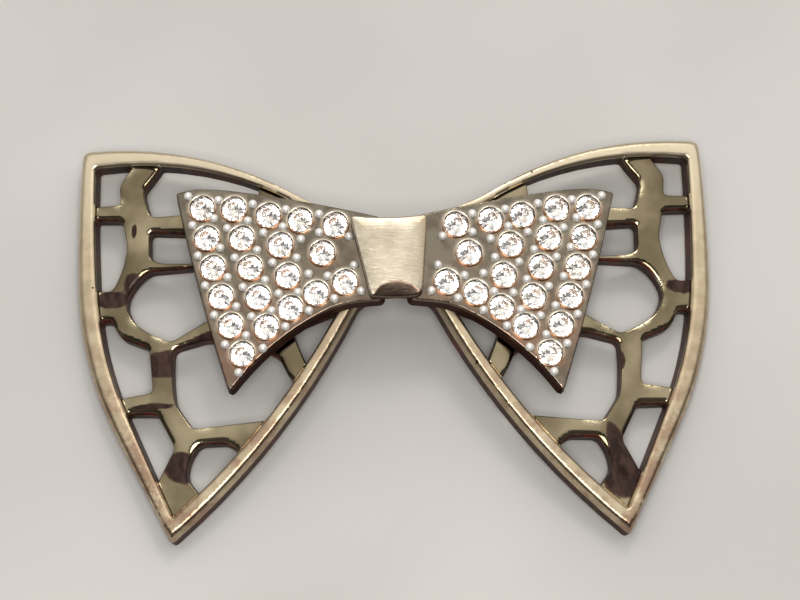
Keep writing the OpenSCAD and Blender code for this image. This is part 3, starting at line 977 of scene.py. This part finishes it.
# Drop and reach of the rounded edge and of the crown, and the drop from the top to the foot
KNOT_ROUND = [0.13, 0.15]
KNOT_CROWN = [0.16, 1.7]
KNOT_FALL = 0.24
# The roll at the foot: its depth, its middle from the foot's, and its half width and height
ROLL_DEPTH = 0.6
ROLL_PLACE = [0.2, -0.30]
ROLL_SIZE = [2.35, 1.7]
# How high above its lowest point the outline still belongs to the foot
KNOT_FOOT = 0.3

knot_solid = flat_triangles("knot", 1, KNOT_TURN)
knot_top = knot_solid[..., 2].max()
knot_line = softened(level_lines(knot_solid, knot_top - KNOT_LEVEL)[0], KNOT_STEP, KNOT_BLUR)
knot_line = moved_out(knot_line, KNOT_OUT)


def knot_depth(points):
    """How far the knot's face lies below its crown: a rounded edge and a low crown, both by
    (1 - d)^2 over their reach, a fall by the square of the way to the foot, and a roll there,
    a cone over an ellipse. Gives the ellipse's 1 - r too, for the roll's painted shade."""
    from_edge = reach(points, [knot_line])
    rounded, crown = (
        drop * np.clip(1 - from_edge / over, 0, 1) ** 2 for drop, over in (KNOT_ROUND, KNOT_CROWN)
    )
    top, lowest = knot_line[:, 1].max(), knot_line[:, 1].min()
    foot = knot_line[knot_line[:, 1] < lowest + KNOT_FOOT].mean(axis=0)
    down = (top - points[:, 1]) / (top - lowest)
    inside_roll = 1 - np.linalg.norm((points - foot - ROLL_PLACE) / ROLL_SIZE, axis=1)
    roll = ROLL_DEPTH * np.maximum(inside_roll, 0)
    return rounded + crown + KNOT_FALL * down**2 + roll, inside_roll


# Colours of the brushing, from its darker to its paler tone, of its fine lines, the deeper
# strokes, the painted shade along the right edge and on the roll at the foot, and of the lacquer
# with painted shade on the walls
BRUSHED = (0.43, 0.37, 0.275), (0.54, 0.475, 0.365)
BRUSH_LINES = (0.68, 0.62, 0.505)
STROKES = (0.40, 0.31, 0.21)
EDGE_TAN_SHADE = (0.36, 0.27, 0.17)
ROLL_SHADE_BROWN = (0.110, 0.072, 0.049)
KNOT_LACQUER_SHADE = (0.045, 0.02, 0.012)


def brushed_champagne():
    """Pale champagne, brushed across in fine lines, with a few deeper strokes and soft dents,
    a painted tan shade along its right edge and a painted brown shade where its foot rolls under."""
    material, tree, place = new_material("brushed_champagne")
    fine = grain(place, 1.0, (0.8, 16, 8), detail=3, seed=41)
    strokes = grain(place, 1.0, (0.35, 5, 3), detail=2, seed=42)
    mottle = grain(place, 0.7, detail=3, seed=43)
    depth = attribute(tree, "depth")
    roll_shade = attribute(tree, "roll_shade")
    colour = blend(mottle.step(0.35, 0.65), *BRUSHED)
    colour = blend(fine.step(0.35, 0.7) * 0.4, colour, BRUSH_LINES)
    colour = blend(strokes.step(0.55, 0.75) * 0.3, colour, STROKES)
    across = add(tree, "SeparateXYZ", {}, {0: place}, 0)
    # Painted shade: tan along the right edge
    colour = blend((across + mottle * 1.2).step(2.4, 3.7) * 0.7, colour, EDGE_TAN_SHADE)
    # Painted shade: brown where the foot rolls under
    roll_shade_mask = (roll_shade + mottle * 0.06).step(-0.10, 0.03)
    colour = blend(roll_shade_mask * 0.92, colour, ROLL_SHADE_BROWN)
    # The walls' lacquer is darkened as painted shade
    lacquer_and_shade = depth.step(0.1, 0.5)
    colour, metal = under_lacquer_and_shade(lacquer_and_shade, colour, KNOT_LACQUER_SHADE)
    roughness = 0.22 + fine * 0.14 + lacquer_and_shade * 0.3
    soft = bumped(tree, mottle, 0.08, 0.5)
    normal = bumped(tree, fine + strokes * 1.5, 0.012, 0.7, soft)
    fixed = {"Metallic": metal, "Specular IOR Level": LACQUER_SHINE}
    finished(tree, colour, roughness, normal, fixed)
    return material


middle = (knot_line.min(axis=0) + knot_line.max(axis=0)) / 2
inward = np.linspace(0, 1, KNOT_ROWS) ** KNOT_CROWDING * KNOT_INNERMOST
face = knot_line[None] + inward[:, None, None] * (middle - knot_line)[None]
below, roll_shade = knot_depth(face.reshape(-1, 2))
face_heights = knot_top - below.reshape(KNOT_ROWS, -1)
# The wall goes down to the plates, which slope away on both sides
floor_line = knot_top - KNOT_SIDE - np.abs(knot_line[:, 0]) * np.tan(WING_SLOPE)
wall_shares = np.linspace(1, 0, KNOT_WALL_ROWS + 1)[:-1]
wall_heights = face_heights[0] + wall_shares[:, None] * (floor_line - face_heights[0])
flat = np.concatenate([np.repeat(knot_line[None], KNOT_WALL_ROWS, axis=0), face])
heights = np.concatenate([wall_heights, face_heights])
knot_points = np.concatenate([flat, heights[..., None]], axis=2).reshape(-1, 3)
index = np.arange(len(knot_points)).reshape(len(heights), -1)
# Two hubs close it, one in the middle of the face and one under it
hub = len(knot_points)
hubs = [[*middle, heights[-1].mean()], [*middle, floor_line.max()]]
knot_faces = [
    triangles_between(index),
    np.column_stack([index[-1], np.roll(index[-1], -1), np.full(index.shape[1], hub)]),
    np.column_stack([np.roll(index[0], -1), index[0], np.full(index.shape[1], hub + 1)]),
]
wall_depth = np.repeat(wall_shares, len(knot_line))
# The wall takes the painted shade of the edge above it, and the hubs lie far from the roll
roll_shade = np.r_[np.tile(roll_shade[: len(knot_line)], KNOT_WALL_ROWS), roll_shade, -1, -1]
piece = made_piece(
    "knot_band",
    np.vstack([knot_points, hubs]) @ KNOT_TURN.T * MM,
    np.vstack(knot_faces),
    brushed_champagne(),
    {"depth": np.r_[wall_depth, np.zeros(face_heights.size + 2)], "roll_shade": roll_shade},
)
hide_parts("knot")

# Pin
# A plain drawn pin on two short posts, across the backs of both wings and plated like the rest.
# Its solid is shown as it is, with a finish of its own.

PIN_PLATING = (0.74, 0.66, 0.52)
PIN_TARNISH = (0.42, 0.30, 0.19)


def polished_pin():
    """Polished champagne plating, with drawing lines along the stem and a little tarnish."""
    material, tree, place = new_material("polished_pin")
    lines = grain(place, 1.0, (0.5, 9, 9), detail=3, seed=51)
    tarnish_and_shade = grain(place, 0.8, detail=4, seed=52).step(0.5, 0.75)
    colour = blend(tarnish_and_shade, PIN_PLATING, PIN_TARNISH)
    normal = bumped(tree, lines, 0.008, 0.6)
    finished(tree, colour, 0.2 + tarnish_and_shade * 0.2 + lines * 0.08, normal, {"Metallic": 1.0})
    return material


pin_finish = polished_pin()
for slot in castings["pin_back"].material_slots:
    slot.material = pin_finish

# Camera
# Stands where the photo was taken from: 17 degrees off straight above, on the tips' side, a
# little to the left, far off with a long lens.

# Angles in degrees, the distance from the point aimed at in metres, lens and sensor in
# millimetres
CAMERA_LEAN, CAMERA_TILT, CAMERA_ROLL = -1.25, 17, -1.51
CAMERA_AIM = Vector((0.44, 3.339, 4.6)) * MM
CAMERA_AWAY = 0.28
LENS = 126
SENSOR_WIDTH = 36

camera = bpy.data.objects.new("camera", bpy.data.cameras.new("camera"))
bpy.context.scene.collection.objects.link(camera)
bpy.context.scene.camera = camera
lean, tilt, roll = np.radians([CAMERA_LEAN, CAMERA_TILT, CAMERA_ROLL])
back = Vector((np.sin(lean), -np.sin(tilt) * np.cos(lean), np.cos(tilt) * np.cos(lean)))
level = Vector((0, 1, 0)).cross(back).normalized()
up = back.cross(level)
right = np.cos(roll) * level + np.sin(roll) * up
up = np.cos(roll) * up - np.sin(roll) * level
turn = Matrix((right, up, back)).transposed().to_4x4()
camera.data.sensor_width = SENSOR_WIDTH
camera.data.lens = LENS
camera.data.clip_start = 0.01
camera.matrix_world = Matrix.Translation(CAMERA_AIM + CAMERA_AWAY * back) @ turn

# Floor
# A sheet of pale card that the brooch lies on, four metres across, far wider than the camera
# takes in.

CARD_HALF = 2.0
CARD = (0.60, 0.585, 0.56), (0.66, 0.645, 0.62)


def pale_card():
    """Matt card, very slightly fibrous and uneven in tone."""
    material, tree, place = new_material("pale_card")
    fibre = grain(place, 2.2, detail=4, seed=61)
    cloud = grain(place, 0.03, detail=2, seed=62)
    colour = blend(cloud.step(0.3, 0.7), *CARD)
    finished(tree, colour, 0.75 + fibre * 0.1, bumped(tree, fibre, 0.03, 0.4), {})
    return material


corners = [CARD_HALF * np.array([x, y, 0]) for x, y in ((-1, -1), (1, -1), (1, 1), (-1, 1))]
floor_mesh = bpy.data.meshes.new("floor")
floor_mesh.from_pydata(corners, [], [(0, 1, 2, 3)])
floor_mesh.materials.append(pale_card())
floor = bpy.data.objects.new("floor", floor_mesh)
bpy.context.scene.collection.objects.link(floor)

# Light
# A soft tent with a bright ceiling, dark on the side of the bow's tips, and two small soft
# boxes, one beyond the bow's top and one behind the camera, as its flash.

# The way to the ceiling's middle, the angles off it where it is full and where it ends, and the
# way to the lit side of the tent
CEILING = (0.12, 0.30, 1)
CEILING_FULL, CEILING_END = np.cos(np.radians([15, 50]))
LIT_SIDE = (0, 1, 0)
# How brightly the tent glows: all of it, its upper walls and its ceiling, and how much less of
# that on the dark side
TENT_GLOW, WALL_GLOW, CEILING_GLOW = 0.30, 0.45, 0.50
DARK_LESS = 0.87
KEY_PLACE = (0.06, 0.26, 0.38)
FLASH_AWAY = 0.36

world = bpy.data.worlds.new("tent")
bpy.context.scene.world = world
bpy.context.scene.view_settings.view_transform = "Standard"
world.use_nodes = True
tent = world.node_tree
tent.nodes.clear()
way = add(tent, "TexCoord", output=0)


def towards(direction):
    """Cosine of the angle between the way looked and a direction."""
    sockets = {0: way, 1: tuple(Vector(direction).normalized())}
    return add(tent, "VectorMath", {"operation": "DOT_PRODUCT"}, sockets, 1)


dark = 1 - towards(LIT_SIDE).step(-0.02, 0.07)
ceiling = towards(CEILING).step(CEILING_END, CEILING_FULL)
walls = towards((0, 0, 1)).step(-0.1, 0.7)
light = (TENT_GLOW + walls * WALL_GLOW + ceiling * CEILING_GLOW) * (1 - dark * DARK_LESS)
shine = blend(ceiling, (1.0, 0.965, 0.92), (1.0, 0.985, 0.95))
glow = add(tent, "Background", {}, {"Color": shine, "Strength": light})
add(tent, "OutputWorld", {}, {"Surface": glow})


def soft_box(name, place, aim, size, watts, colour):
    """A square lamp that faces a point."""
    lamp = bpy.data.lights.new(name, "AREA")
    lamp.size = size
    lamp.energy = watts
    lamp.color = colour
    box = bpy.data.objects.new(name, lamp)
    box.location = place
    box.rotation_euler = (Vector(place) - Vector(aim)).to_track_quat("Z", "Y").to_euler()
    bpy.context.scene.collection.objects.link(box)


soft_box("key", KEY_PLACE, (0, 0, 0), 0.10, 0.30, (1.0, 0.97, 0.92))
flash_place = CAMERA_AIM + FLASH_AWAY * back
soft_box("front", flash_place, CAMERA_AIM, 0.13, 0.58, (1.0, 0.985, 0.97))
